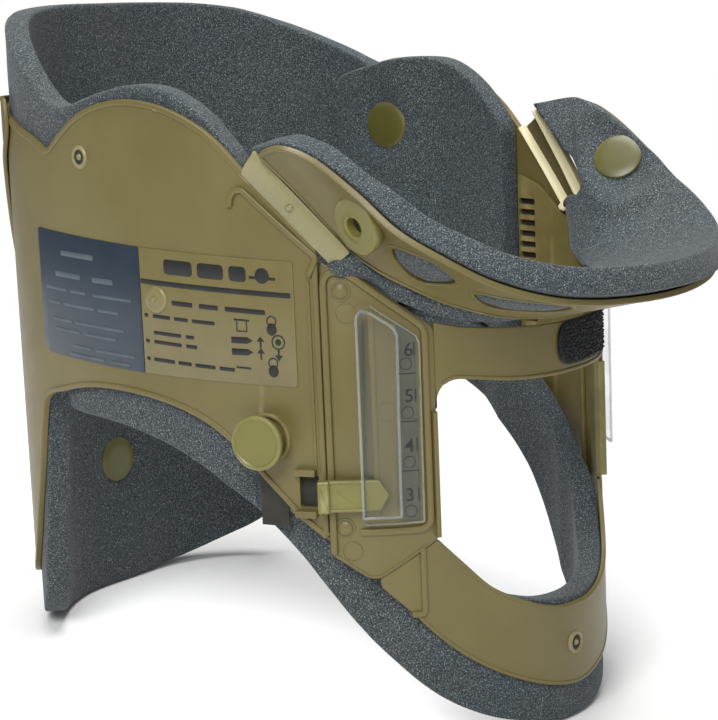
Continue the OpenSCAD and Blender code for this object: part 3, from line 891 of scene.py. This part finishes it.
def chin_pad_shape(a, b, d):
    """Fills the shell's windows, wraps its lower edge, and sinks around the buttons."""
    from_end = min(a, CHIN_L - a)
    if d > -4:
        for x, y, rx, r, tilt in WINDOWS:
            p, q = a - x, b - y
            e = (p * math.cos(tilt) + q * math.sin(tilt)) / rx
            f = (q * math.cos(tilt) - p * math.sin(tilt)) / r
            d += 2.4 * math.exp(-((e * e + f * f) / 1.25) ** 4)
        rim = table([(-1, 1.5), (24, 3), (40, 4.2), (100, 4.6)], from_end)
        d += 1.7 * smooth((rim - 0.4 - b) / 1.6)
    else:
        for x in (BUTTON_A, CHIN_L - BUTTON_A):
            p, q = (a - x) * 1.1, (b - BUTTON_B) * 1.5
            h = math.hypot(p, q)
            ridge = 1.7 * smooth((30 - b) / 7) * math.exp(-((h - 16.6) / 3.2) ** 2)
            d += 3.6 * math.exp(-(h / 12.2) ** 4) - ridge
            # a soft crease runs down from the dimple
            away = abs((a - x) * (1 if x < 100 else -1) - (BUTTON_B - b) * 0.35 - 3)
            if b < BUTTON_B - 8:
                d += 1.1 * math.exp(-(away / 2.2) ** 2) * smooth((b + 2) / 6)
        b -= 1.8 * smooth((b - 20) / 9) * smooth((66 - from_end) / 26)
        low = smooth((9 - b) / 10)
        b -= 1.5 * low * smooth((56 - from_end) / 30)
        a += (-4 if a < 100 else 12) * low * smooth((32 - from_end) / 24)
    return a, b, d


PAD_LOW = spline([
    (1.5, -1.2), (12, -3.2), (30, -3.6), (60, -3.4), (100, -3), (140, -3.4), (170, -3.6), (188, -3.2),
    (198.5, -1.2),
])
PAD_END = [
    (198.5, -1.2), (198.5, 0.8), (194, 1.8), (185, 6.5), (182, 10), (192.5, 11.2), (198.6, 14.6), (200.8, 20),
    (202, 31),
]
PAD_RIM = [(202, 31), (190, 29.8), (176, 29.4), (160, 29.8), (140, 31.2), (120, 32.6), (100, 33)]
PAD_RIM += [(CHIN_L - a, b) for a, b in PAD_RIM[-2::-1]]
left_end = [(CHIN_L - a, b) for a, b in PAD_END[::-1]]
chin_foam = joined(PAD_LOW, line(PAD_END, 1.5), spline(PAD_RIM), line(left_end, 1.5))
pad(
    "chin_pad", soften(chin_foam, 0.8), (-8.7, -0.5), on_chin, "shell", ["chin_foam"], r=0.8,
    grid=(1.5, 1.5), shape=chin_pad_shape,
)

EYELET = [
    (2.9, 2.9), (3.1, 3.9), (3.7, 4.15), (4.6, 3.9), (6.4, 3.6), (8.0, 3.75), (8.7, 3.5), (9.0, 2.9),
    (8.9, 1.2), (8.0, -0.6), (4.5, -0.8), (4.4, -2.0), (2.9, -2.0),
]
for side, which in SIDES:
    eyelet_a, button_a = (EYELET_A, BUTTON_A) if side > 0 else (CHIN_L - EYELET_A, CHIN_L - BUTTON_A)
    place = chin_spot(eyelet_a, EYELET_B, 1.2, False, -0.32)
    piece("eyelet_" + which, lathe(EYELET, 48), place, LIGHT, "shell", ["chin_eyelets"] if side > 0 else ())
    # a disc of painted shade down in the eyelet's hole
    eyelet_shade = lathe([(0, 1.2), (2.95, 1.2), (2.95, 0.6), (0, 0.6)], 24)
    piece("eyelet_painted_shade_" + which, eyelet_shade, place, PAINTED_SHADE, "shell")
    place = chin_spot(button_a, BUTTON_B, 6.0, True)
    piece("chin_button_" + which, lathe(DISC, 48), place, BUTTON, "shell")

# ---------- liner buttons and rivets ----------
for number, (place, d, side) in enumerate((
    (NAPE_BUTTON, FOAM_IN + 1.5, 1), (EAR_BUTTON, FOAM_IN - 7.1, -1), (TAIL_BUTTON, FOAM_IN + 1.5, 1),
)):
    nodes = ["liner_buttons"] if number == 0 else ()
    piece("liner_button_%d" % number, lathe(DISC, 48), spot(*place, d, True), BUTTON, "shell", nodes, side)
HOLLOW = [(2.3, -0.1), (2.4, 0.35), (2.8, 0.62), (3.3, 0.55), (3.7, 0.2), (3.8, -0.3), (2.3, -0.3)]
PIN = [(0, 0.75), (0.7, 0.65), (1.05, 0.3), (1.15, -0.2), (0, -0.2)]
DOMED = [
    (0, 1.6), (0.5, 1.5), (0.8, 1.0), (1.7, 0.75), (2.9, 0.95), (3.7, 0.75), (4.2, 0.35), (4.3, -0.1),
    (0, -0.3),
]
for name, profile, where, side, body, nodes in (
    ("shell_rivet_right", HOLLOW, (170.9, 181.8), 1, "shell", ["shell_rivets"]),
    ("shell_rivet_left", HOLLOW, (170.9, 181.8), -1, "shell", ()),
    ("shell_rivet_back", HOLLOW, TAIL_BUTTON, 1, "shell", ()),
    ("label_rivet_right", DOMED, (139.2, 138.6, 0.3), 1, "shell", ()),
    ("chest_rivet", HOLLOW, (2.2, 24.4, BULGE - 0.5), 1, "front_frame", ["frame_rivets"]),
):
    head = lathe(profile, 32)
    if profile is HOLLOW:
        lathe(PIN, 20, head)
        # a disc of painted shade inside the hollow rivet
        rivet_shade = lathe([(0, 0.1), (2.6, 0.1), (2.6, -0.2), (0, -0.2)], 24)
        piece(name + "_painted_shade", rivet_shade, spot(*where), PAINTED_SHADE, body, (), side)
    piece(name, head, spot(*where), RIVET, body, nodes, side)

# ---------- labels ----------
# how far the print stands off the panel, and how thick it is
PRINT_D, PRINT_T = 0.3, 0.07
BOLD = ((124.5, 135.5), (113, 122.5), (105, 111))
WORDS = (
    (137.2, ((125, 133), (115.5, 122.5), (99, 113))),
    (132.3, ((143, 144.5), (134, 141), (127, 132.4), (117, 125.5))),
    (127.1, ((130, 141), (125, 128.2))),
    (124.2, ((143, 144.5), (130, 141), (124, 128.2))),
    (118.6, ((143, 144.5), (133, 141.5), (126.5, 131.6), (117.5, 125), (110.5, 116))),
)
FAINT_WORDS = (
    (148.2, ((167, 184),)), (141.2, ((174, 188), (158, 168))), (136.2, ((182, 194), (172, 180), (150, 168))),
    (131.6, ((186, 193), (168, 184), (156, 166))), (126.2, ((180, 191), (154, 178))),
    (123.0, ((176, 190), (158, 174))), (118.4, ((170, 180), (150, 168))), (115.6, ((164, 182), (152, 161))),
)


def mark(bm, outline):
    """A printed area."""
    block(outline, PRINT_D, PRINT_D + PRINT_T, 0.02, bm)


def stroke(bm, path, width, closed=False):
    """A printed line."""
    rib(path, width, PRINT_T, PRINT_D, bm, closed)


def bar(bm, u0, u1, z, h, tilt=0.045):
    """A printed dash; its height above the ring rises toward the rear with the label."""
    z0, z1 = z + (u0 - 118) * tilt, z + (u1 - 118) * tilt
    outline = line([(u0, z0 - h / 2), (u1, z1 - h / 2), (u1, z1 + h / 2), (u0, z0 + h / 2)], 3)
    mark(bm, soften(outline, min(h, u1 - u0) * 0.3))


def pictograms(bm):
    """Padlocks, a clip, latches and arrows."""
    for z in (132.4, 119.6):
        stroke(bm, circle(97, z + 1.4, 1.5, 16), 0.45, True)
        mark(bm, circle(97, z - 1.1, 1.9, 20, 1.7))
    bar(bm, 104.6, 110, 134.3, 0.6)
    stroke(bm, line([(105.6, 134), (105.6, 130.4), (109, 130.4), (109, 134)], 0.8), 0.4)
    bar(bm, 104.8, 109.8, 119.6, 0.6)
    for z in (127.6, 124.0):
        mark(bm, line([(111.2, z - 1), (111.2, z + 1), (105.6, z + 1), (103.6, z), (105.6, z - 1)], 1))
        mark(bm, [Vector((102.3, z - 0.2)), Vector((99.7, z - 0.2)), Vector((101, z + 1.5))])
        bar(bm, 100.7, 101.3, z - 0.2, 2.2)
    stroke(bm, circle(95, 127.4, 2.1, 20), 0.45, True)
    mark(bm, circle(95, 127.4, 1.0, 16))
    mark(bm, [Vector((93.7, 123.4)), Vector((96.3, 123.4)), Vector((95, 121.6))])
    bar(bm, 94.7, 95.3, 125.4, 2.0)


def label(side, which):
    """A beige and a navy field, with generic dashes for words."""
    front = plan([(89.2, 113.8), (145.5, 115), (145.5, 154.7), (89.2, 151.9)], [1.5, 0.1, 0.1, 1.5])
    rear = plan([(145.9, 115), (197.6, 117.2), (197.6, 158), (145.9, 154.7)], [0.1, 5, 1.5, 0.1])
    nodes = ["label_" + which]
    piece("label_front_" + which, block(front, 0.02, 0.28, 0.08), at, BEIGE, "shell", nodes, side, BEND)
    piece("label_rear_" + which, block(rear, 0.02, 0.28, 0.08), at, NAVY, "shell", (), side, BEND)
    ink = bmesh.new()
    bar(ink, 90.2, 145.3, 142.9, 1.6)
    for word in BOLD:
        bar(ink, *word, 148.3, 4.6)
    mark(ink, circle(99.5, 147.5, 2.4))
    bar(ink, 95, 98.5, 147.6, 0.9)
    bar(ink, 100.5, 104, 147.6, 0.9)
    for z, words in WORDS:
        for word in words:
            bar(ink, *word, z, 1.15 if z < 137 else 1.5)
    pictograms(ink)
    piece("label_print_" + which, ink, at, INK, "shell", (), side, BEND)
    faint = bmesh.new()
    for z, words in FAINT_WORDS:
        for word in words:
            bar(faint, *word, z, 1.0 if z < 140 else 1.7, 0.035)
    piece("label_faint_print_" + which, faint, at, FAINT, "shell", (), side, BEND)


for side, which in SIDES:
    label(side, which)

# ---------- lower front frame ----------
PLATE = [
    (81.15, 62.2), (81.15, 150.4), (73.4, 150.4), (47.2, 130.6), (47.2, 66.2), (50.7, 63.8), (66.0, 54.5),
    (69.4, 54.5),
]
RAIL = [(79.95, 62.6), (79.95, 149.0), (73.6, 149.0), (50.3, 131), (50.3, 69.3), (71.5, 69.3)]
HEEL = [(80.7, 66), (80.3, 62.8), (69.4, 55.2), (66.2, 55.2), (51.2, 64.2)]
LADDER = [
    (66, 60.5), (80, 64.5), (94, 74), (104.8, 84), (104.8, 163.5), (94, 160), (84, 153), (74, 148), (66, 146),
]
SLOTS, SLOT_PITCH = 16, 3.75
DIGITS = (("6", 55.3, 124.4), ("5", 55.6, 110.4), ("4", 56.0, 95.2), ("3", 56.4, 80.0))
COVER = [(70.4, 71.4), (70.4, 138.6), (66.0, 138.6), (53.0, 129.0), (51.8, 126.5), (52.2, 71.4)]
COVER_BOX = [(70.6, 74.4), (70.6, 137.6), (66.8, 137.6), (60.0, 132.6), (58.9, 130), (59.5, 74.4)]


def scale_plate(side, which):
    """The plate under the numbers, with its raised rim, heat stakes and moulding rings."""
    plate = block(plan(PLATE, [0.8, 4.5, 2.5, 2, 1, 1, 1.8, 1.8], 2.5), -1.95, 0.0, 0.35)
    rib(soften(line(RAIL, 1.5), [4.5, 3, 2.5, 4], False), 2.2, 1.2, 0, plate)
    rib(line([(66.2, 83), (66.2, 136.5)]), 1.8, 0.5, 0, plate)
    rib(line(HEEL, 1), 0.7, 0.35, -0.1, plate)
    for u, z in ((74.8, 143.0), (76.4, 70.6)):
        lathe([(0, 0.9), (1.5, 0.75), (2.2, 0.3), (2.3, -0.2), (0, -0.2)], 24, plate, u, z)
        rib(circle(u, z, 2.9, 24), 0.5, 0.25, 0, plate, True)
    for u, z in ((73.6, 136.4), (74.4, 63.2), (62.5, 106), (68.2, 76.0)):
        rib(circle(u, z, 3.0, 24), 0.35, 0.2, 0, plate, True)
    name = "scale_plate_" + which
    piece(name, plate, at, SHELL, "front_frame", [name], side, BEND)


def ladder(side, which):
    """The slotted plate behind the shell that takes the safety lock's blade."""
    slots = bmesh.new()
    for k in range(SLOTS):
        z = LOCK_AT[1] + SLOT_PITCH * k
        block(rect(96, z - 1.05, 104, z + 1.05, 0.6), -5, 0, 0.1, slots)
    rungs = carve(block(plan(LADDER, 2.5), -3.4, -2.0, 0.3), slots)
    name = "ladder_" + which
    piece(name, rungs, at, SHELL, "front_frame", [name], side, BEND)


def number_strip(side, which):
    """The strip of size numbers, each with a ring under it and a tick at the edge."""
    strip = plan([(58.8, 72.2), (58.8, 133.2), (53.4, 129), (53.0, 126.5), (53.4, 72.2)], 0.6, 3)
    name = "number_strip_" + which
    piece(name, block(strip, 0.02, 0.3, 0.06), at, SCALE, "front_frame", [name], side, BEND)
    digits = bmesh.new()
    for text, u, z in DIGITS:
        curve = bpy.data.curves.new("digit", "FONT")
        curve.body, curve.size, curve.align_x, curve.extrude, curve.offset = text, 5.8, "CENTER", 0.04, 0.05
        mesh = evaluated(add("digit", curve))
        mesh.transform(Matrix.Translation((u, z - 1.7, 0.36)) @ Matrix.Diagonal((-side, 1, 1, 1)))
        digits.from_mesh(mesh)
        rib(circle(56.2, z - (4.0 if text == "6" else 4.9), 1.8, 24), 0.28, 0.12, 0.3, digits, True)
        block(rect(53.4, z - 1.8, 53.9, z + 2.4), 0.3, 0.38, 0.02, digits)
    for z in (117.4, 102.8, 87.6):
        block(rect(53.3, z - 0.2, 58.6, z + 0.2), 0.3, 0.38, 0.02, digits)
    piece("digits_" + which, digits, at, INK, "front_frame", (), side, BEND)


def clear_cover(side, which):
    """The clear cover: a flange over the numbers and a raised box, its edges made milky and bright with
    painted highlight.
    """
    box = plan(COVER_BOX, [0.4, 2.4, 1.5, 1, 1, 3])
    cover = block(plan(COVER, [0.6, 0.6, 1.5, 1, 1, 2.5]), 0.4, 1.2, 0.2)
    slab(box, [(0, 4.5), (0.1, 4.4)], [(0, 4.6), (0.35, 4.95), (0.9, 5.2), (1.4, 5.25)], cover)
    nodes = ["scale_window_" + which]
    piece("clear_cover_" + which, cover, at, CLEAR, "front_frame", nodes, side, BEND, sharp=25)
    # ribs along the flange and the box's rim, and the box's walls, are partly the plastic's milky edge,
    # partly painted highlight
    flange_edge = line([(66.2, 138.3), (53.2, 128.8), (52.1, 126.4), (52.5, 71.7), (70.2, 71.7)])
    edges = rib(flange_edge, 0.5, 0.5, 0.95)
    rib(inset(box, 0.35), 0.8, 0.5, 4.95, edges, True)
    wall = carve(
        slab(inset(box, 0.05), [(0, 1.15), (0.1, 1.1)], [(0, 4.3), (0.1, 4.35)]),
        slab(inset(box, 0.75), [(0, 0.4), (0.1, 0.3)], [(0, 6), (0.1, 6.1)]),
    )
    edges.from_mesh(to_mesh("wall", wall))
    piece("cover_edge_highlights_" + which, edges, at, EDGE_HIGHLIGHT, "front_frame", (), side, BEND, sharp=25)


def guide_rail(side, which):
    """The rail at the throat and the hooked bead below it. The left one is paler."""
    rails = rib(line([(48.0, 66.4), (48.0, 105)]), 1.6, 1.9, -0.1)
    rib(soften(line([(52.9, 63.2), (52.9, 42.4), (57, 42.6)], 1), 1.5, False), 2.0, 1.0, -0.6, rails)
    name = "guide_rail_" + which
    piece(name, rails, at, LIGHT if side < 0 else SHELL, "front_frame", [name], side, BEND)


def latch(side, which):
    """A flat bar with an arrow head and a thumb end."""
    bm = block(rect(-12.6, -4.9, 0.2, 4.9, 0.4), 0, 1.95, 0.35)
    arrow = plan([(0.0, -4.7), (4.6, -4.7), (7.6, 0.0), (4.6, 4.7), (0.0, 4.7)], 0.5, 1)
    block(arrow, 0.1, 1.45, 0.3, bm)
    block(rect(-14, -5, -10.4, 5, 0.5), 0, 3.2, 0.5, bm)
    for y in (-4.3, 4.3):
        rib(line([(-10.5, y), (0.1, y)]), 0.8, 0.35, 1.9, bm)
    name = "latch_" + which
    piece(name, bm, spot(70, 81.2, 1.35), LIGHT, name, [name], side, sharp=15)


for side, which in SIDES:
    for make in (scale_plate, ladder, number_strip, clear_cover, guide_rail, latch):
        make(side, which)

STRAP_LOW = [
    (47.2, 105.6), (46.7, 109.6), (44.8, 112.7), (41.4, 114.1), (36, 113.7), (25, 112.2), (10, 111.5),
    (0, 111.5),
]
STRAP_TOP = [(0, 127.6), (25, 128.6), (40, 130.4), (47.2, 132.2)]
strap_low = spline([(-u, z) for u, z in STRAP_LOW] + STRAP_LOW[-2::-1])
strap_edge = joined(
    strap_low, line([(47.2, 105.6), (47.2, 132.2)]), spline(mirrored(STRAP_TOP)[::-1]),
    line([(-47.2, 132.2), (-47.2, 105.6)]),
)
strap = slab(soften(strap_edge, 0.6), [(0, -1.5), (0.25, -1.8)], [(0, -0.25), (0.25, 0)])
rib(line([p + Vector((0, 0.7)) for p in strap_low[4:-4]]), 1.1, 0.45, 0, strap)
piece("throat_strap", strap, on_front, SHELL, "front_frame", ["throat_strap"], grid=(2.0, 8.0))

patch_edge = plan([(8.2, 113.8), (8.2, 127.6), (-23, 127.2), (-23, 113.8)], [6, 6, 2, 2])
patch = block(patch_edge, 0.05, 0.9, 0.3)
HOOK_ROWS, HOOK_COLUMNS = 12, 26
for row in range(HOOK_ROWS):
    for col in range(HOOK_COLUMNS):
        u = 7.0 - 1.15 * col - (row % 2) * 0.55 + random.uniform(-0.35, 0.35)
        z = 114.8 + 1.08 * row + random.uniform(-0.4, 0.4)
        if u > 3 and u + abs(z - 120.7) > 11.0:
            continue
        w = 0.34 + 0.1 * random.random()
        z += 0.3 * random.random()
        lathe([(0, 1.5), (w * 0.8, 1.35), (w, 1.1), (w * 0.6, 0.7), (0, 0.7)], 5, patch, u, z)
piece("hook_patch", patch, on_front, HOOKS, "front_frame", ["hook_patch"], grid=BEND)

CHEST_PLATE_TOP = [(0, 37.5), (8, 37.8), (15, 39.6), (23, 43.3), (31, 48), (40, 57), (48, 65.4)]
CHEST_PLATE_LOW = [(0, 10.8), (10.4, 12.2), (25.2, 18), (41.5, 28.2), (50.3, 36), (56.2, 42.4)]
end = [(56.2, 42.4), (66, 51.6), (66.4, 54.4), (50.9, 63.6), (48, 65.4)]
low_rim, top_rim = spline(mirrored(CHEST_PLATE_LOW)), spline(mirrored(CHEST_PLATE_TOP))
plate_edge = joined(
    low_rim, line(end), spline(mirrored(CHEST_PLATE_TOP)[::-1]), line([(-u, z) for u, z in end[::-1]]),
)
chest_bm = slab(soften(plate_edge, 1.0), [(0, -1.6), (0.25, -1.8)], [(0, -0.75), (0.25, -0.5)])
rib(line([p - Vector((0, 0.8)) for p in top_rim[2:-2]]), 1.1, 0.3, -0.5, chest_bm)
rib(line([p + Vector((0, 0.8)) for p in low_rim[1:-1]]), 1.1, 0.25, -0.5, chest_bm)
piece("chest_plate", chest_bm, on_front, SHELL, "front_frame", ["chest_plate"], grid=(2.0, 8.0))

# ---------- stage, light and camera ----------
floor_mesh = bpy.data.meshes.new("floor")
floor_mesh.from_pydata([(-0.8, -0.8, 0), (0.8, -0.8, 0), (0.8, 0.8, 0), (-0.8, 0.8, 0)], [], [(0, 1, 2, 3)])
floor = add("floor", floor_mesh)
pale = Look("pale_floor", 0.9)
pale.colour(pale.ramp(pale.noise(3, 2), (0.3, (0.86,) * 3), (0.7, (0.88,) * 3)))
floor_mesh.materials.append(pale.material)

scene = bpy.context.scene
scene.view_settings.view_transform = "Standard"
world = bpy.data.worlds.new("studio")
world.use_nodes = True
shine = world.node_tree.nodes["Background"]
shine.inputs["Color"].default_value = (1, 1, 1, 1)
# the backdrop is seen white, but lights the object less
seen = world.node_tree.nodes.new("ShaderNodeLightPath").outputs["Is Camera Ray"]
strength = world.node_tree.nodes.new("ShaderNodeMapRange")
strength.inputs["To Min"].default_value, strength.inputs["To Max"].default_value = 0.22, 1.0
world.node_tree.links.new(seen, strength.inputs["Value"])
world.node_tree.links.new(strength.outputs["Result"], shine.inputs["Strength"])
scene.world = world

# the camera's target and distance in mm, before the collar leans back, and its lens in mm
TARGET, DISTANCE, LENS = Vector((-10.9, -32.0, 110.3)), 732.0, 111.7103
azimuth, elevation, roll = math.radians(51.0), math.radians(10.3), math.radians(-2.4)
level = Vector((math.cos(azimuth), -math.sin(azimuth), 0))
ahead = Vector((math.sin(azimuth), math.cos(azimuth), 0))
look_dir = ahead * math.cos(elevation) - Vector((0, 0, math.sin(elevation)))
upright = level.cross(look_dir)
cam_x = level * math.cos(roll) + upright * math.sin(roll)
cam_y = upright * math.cos(roll) - level * math.sin(roll)
pose = Matrix((cam_x, cam_y, -look_dir)).transposed().to_4x4()
pose = STANCE @ Matrix.Translation(TARGET - look_dir * DISTANCE) @ pose
pose.translation /= 1000
camera_data = bpy.data.cameras.new("camera")
camera_data.sensor_width, camera_data.lens = 36.0, LENS
scene.camera = add("camera", camera_data)
scene.camera.matrix_world = pose


def area(name, where, size, power):
    """A soft square lamp aimed at the middle of the collar."""
    data = bpy.data.lights.new(name, "AREA")
    data.size, data.energy = size, power
    lamp = add(name, data)
    lamp.location = where
    lamp.rotation_euler = (Vector((0, 0, 0.11)) - lamp.location).to_track_quat("-Z", "Y").to_euler()


area("key", (-1.0, -0.35, 0.95), 0.6, 15)
area("fill", (-0.2, -1.3, 0.6), 0.8, 2.2)
area("top", (0.2, 0.2, 2.2), 1.4, 52)
